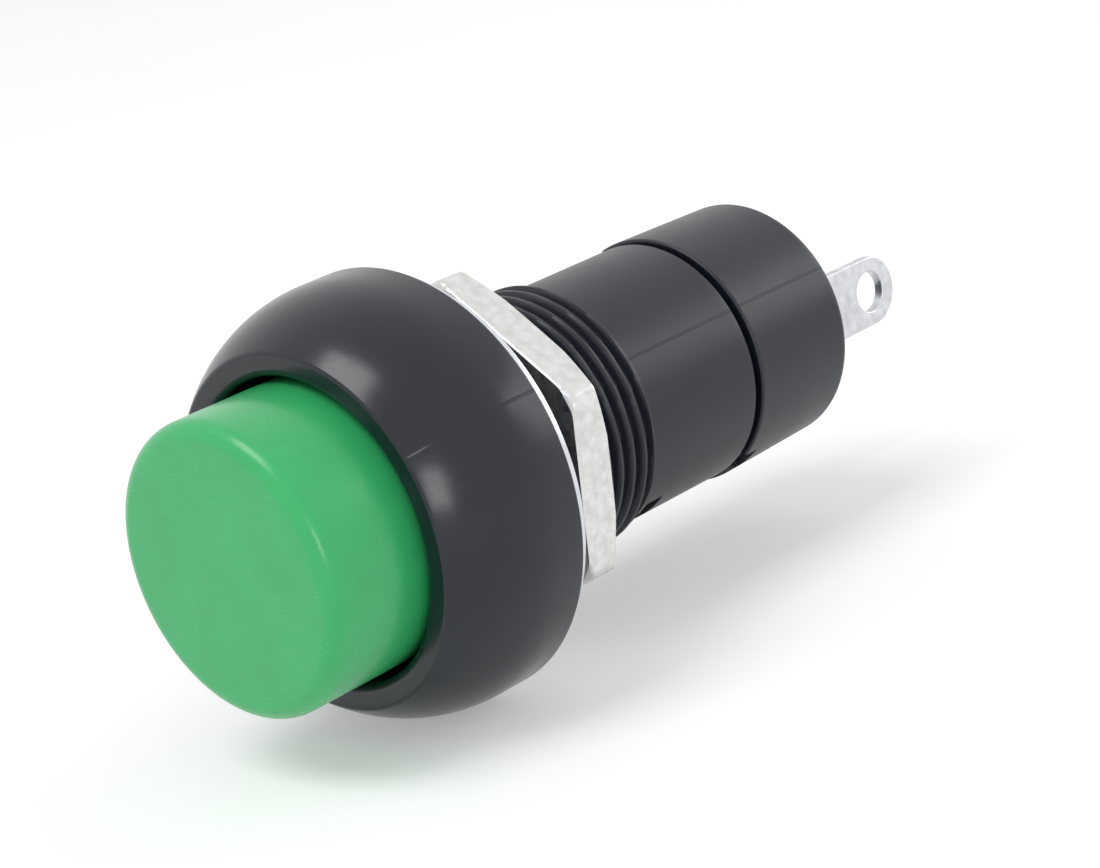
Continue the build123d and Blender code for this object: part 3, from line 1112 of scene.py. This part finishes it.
class SWITCH_OT_inner_parts(bpy.types.Operator):
    """Gives the plunger, bridge, clip and contact rivets their finishes"""

    bl_idname = "push_switch.inner_parts"
    bl_label = "Inner parts"

    def execute(self, context):
        colours = context.scene.push_switch_colours
        finishes = {
            "plunger": inner_finish(colours),
            "contact_bridge": metal_finish(colours, "brass"),
            "retaining_clip": metal_finish(colours, "steel"),
            "bridge_contact_left": metal_finish(colours, "silver"),
            "bridge_contact_right": metal_finish(colours, "silver"),
            "fixed_contact_left": metal_finish(colours, "silver"),
            "fixed_contact_right": metal_finish(colours, "silver"),
        }
        for node, material in finishes.items():
            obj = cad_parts[node]
            for place in obj.material_slots:
                place.material = material
            if not obj.material_slots:
                raise RuntimeError("no material slot on " + node)
        return {"FINISHED"}


# ---------------------------------------------------------------- stage

class SWITCH_OT_stage(bpy.types.Operator):
    """Sets the pale floor, soft lights, white surroundings and the camera"""

    bl_idname = "push_switch.stage"
    bl_label = "Stage"

    def execute(self, context):
        scene = context.scene
        stage = scene.push_switch_stage
        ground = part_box("housing")[0][2]
        u = np.linspace(-1, 1, 3)
        x, y = np.meshgrid(u * 1.5, u * 1.5, indexing="ij")
        verts = np.stack([x, y, np.full_like(x, ground)], axis=-1).reshape(-1, 3)
        i = np.arange(2)[:, None] * 3 + np.arange(2)[None, :]
        faces = np.stack([i, i + 3, i + 4, i + 1], axis=-1).reshape(-1, 4)
        mesh = bpy.data.meshes.new("pale_floor")
        mesh.from_pydata(verts.tolist(), [], faces.tolist())
        mesh.materials.append(self.floor_finish(scene))
        floor = bpy.data.objects.new("pale_floor", mesh)
        scene.collection.objects.link(floor)
        centre = Vector((0, 9 * MM, 0))
        self.light("key_light", (-0.04, -0.30, 0.60), centre, 0.34, 0.30, stage.key_power)
        self.light("fill_light", (0.54, -0.35, 0.12), centre, 0.16, 0.22, stage.fill_power)
        self.light("back_light", (0.25, 0.52, 0.20), centre, 0.40, 0.25, stage.rim_power)
        self.surroundings(scene, stage)
        camera = bpy.data.cameras.new("camera")
        camera.lens = stage.lens
        camera.sensor_width = 36
        camera.clip_start, camera.clip_end = 0.005, 10
        view = bpy.data.objects.new("camera", camera)
        view.location = stage.camera_place
        back = (Vector(stage.camera_place) - Vector(stage.camera_aim)).normalized()
        right = Vector(stage.camera_up).cross(back).normalized()
        view.rotation_mode = "QUATERNION"
        view.rotation_quaternion = Matrix((right, back.cross(right), back)).transposed().to_quaternion()
        scene.collection.objects.link(view)
        scene.camera = view
        scene.view_settings.view_transform = "Standard"
        return {"FINISHED"}

    def light(self, name, place, aim, width, height, power):
        """A rectangular soft light pointed at a place."""
        lamp = bpy.data.lights.new(name, "AREA")
        lamp.shape = "RECTANGLE"
        lamp.size, lamp.size_y, lamp.energy = width, height, power
        obj = bpy.data.objects.new(name, lamp)
        obj.location = place
        obj.rotation_mode = "QUATERNION"
        obj.rotation_quaternion = (aim - Vector(place)).to_track_quat("-Z", "Y")
        bpy.context.scene.collection.objects.link(obj)

    def floor_finish(self, scene):
        """Pale floor that keeps the shadow; what the camera and reflections see is lifted to white."""
        material, tree, shader, vector = new_material("Pale floor")
        paint = placed(
            tree,
            colour_drift(),
            (0, 200),
            vector,
            Colour=(*scene.push_switch_colours.floor, 1),
            Scale=0.02,
            Amount=0.01,
        )
        join(tree, paint.outputs["Colour"], shader.inputs["Base Color"])
        shader.inputs["Roughness"].default_value = 0.9
        shader.inputs["Specular IOR Level"].default_value = 0.0
        seen = add(tree, "ShaderNodeLightPath", (0, -200))
        both = add(tree, "ShaderNodeMath", (200, -200), operation="MAXIMUM")
        join(tree, seen.outputs["Is Camera Ray"], both.inputs[0])
        join(tree, seen.outputs["Is Glossy Ray"], both.inputs[1])
        lift = add(tree, "ShaderNodeMath", (380, -200), operation="MULTIPLY")
        lift.inputs[1].default_value = 0.30
        join(tree, both.outputs[0], lift.inputs[0])
        shader.inputs["Emission Color"].default_value = (1, 1, 1, 1)
        join(tree, lift.outputs[0], shader.inputs["Emission Strength"])
        return material

    def surroundings(self, scene, stage):
        """Even light from all round; the camera and sharp reflections see it white."""
        world = bpy.data.worlds.new("White surroundings")
        world.use_nodes = True
        tree = world.node_tree
        tree.nodes.clear()
        out = add(tree, "ShaderNodeOutputWorld", (600, 0))
        light = add(tree, "ShaderNodeBackground", (200, 100), Color=(1, 1, 1, 1), Strength=stage.sky)
        white = add(tree, "ShaderNodeBackground", (200, -100), Color=(1, 1, 1, 1), Strength=1.0)
        seen = add(tree, "ShaderNodeLightPath", (-100, 200))
        mix = add(tree, "ShaderNodeMixShader", (400, 0))
        sharp = add(tree, "ShaderNodeMath", (100, 300), operation="MAXIMUM")
        clear = add(tree, "ShaderNodeMath", (250, 300), operation="MAXIMUM")
        wire(
            tree,
            (seen, "Is Camera Ray", sharp, 0),
            (seen, "Is Glossy Ray", sharp, 1),
            (sharp, 0, clear, 0),
            (seen, "Is Transmission Ray", clear, 1),
            (clear, 0, mix, 0),
            (light, 0, mix, 1),
            (white, 0, mix, 2),
            (mix, 0, out, "Surface"),
        )
        scene.world = world


OPERATORS = (
    SWITCH_OT_housing,
    SWITCH_OT_button_cap,
    SWITCH_OT_rear_cap,
    SWITCH_OT_washer,
    SWITCH_OT_nut,
    SWITCH_OT_terminals,
    SWITCH_OT_springs,
    SWITCH_OT_inner_parts,
    SWITCH_OT_stage,
)


class SWITCH_PT_panel(bpy.types.Panel):
    """Buttons that build each piece, with the sizes and colours they use"""

    bl_label = "Push-button switch"
    bl_idname = "SWITCH_PT_panel"
    bl_space_type = "VIEW_3D"
    bl_region_type = "UI"
    bl_category = "Push switch"

    def draw(self, context):
        for operator in OPERATORS:
            self.layout.operator(operator.bl_idname)
        for title in ("sizes", "colours", "stage"):
            group = getattr(context.scene, "push_switch_" + title)
            box = self.layout.box()
            box.label(text=title.capitalize())
            for name in group.__annotations__:
                box.prop(group, name)


CLASSES = (PushSwitchSizes, PushSwitchColours, PushSwitchStage, *OPERATORS, SWITCH_PT_panel)


def register():
    """Registers the classes and puts their settings on the scene."""
    for item in CLASSES:
        bpy.utils.register_class(item)
    bpy.types.Scene.push_switch_sizes = PointerProperty(type=PushSwitchSizes)
    bpy.types.Scene.push_switch_colours = PointerProperty(type=PushSwitchColours)
    bpy.types.Scene.push_switch_stage = PointerProperty(type=PushSwitchStage)


def unregister():
    """Takes the settings and classes away again."""
    for name in ("push_switch_stage", "push_switch_colours", "push_switch_sizes"):
        delattr(bpy.types.Scene, name)
    for item in reversed(CLASSES):
        bpy.utils.unregister_class(item)


def main():
    """Builds every piece and the stage."""
    register()
    for operator in OPERATORS:
        group, name = operator.bl_idname.split(".")
        getattr(getattr(bpy.ops, group), name)()
    bpy.context.view_layer.update()


if __name__ == "__main__":
    main()
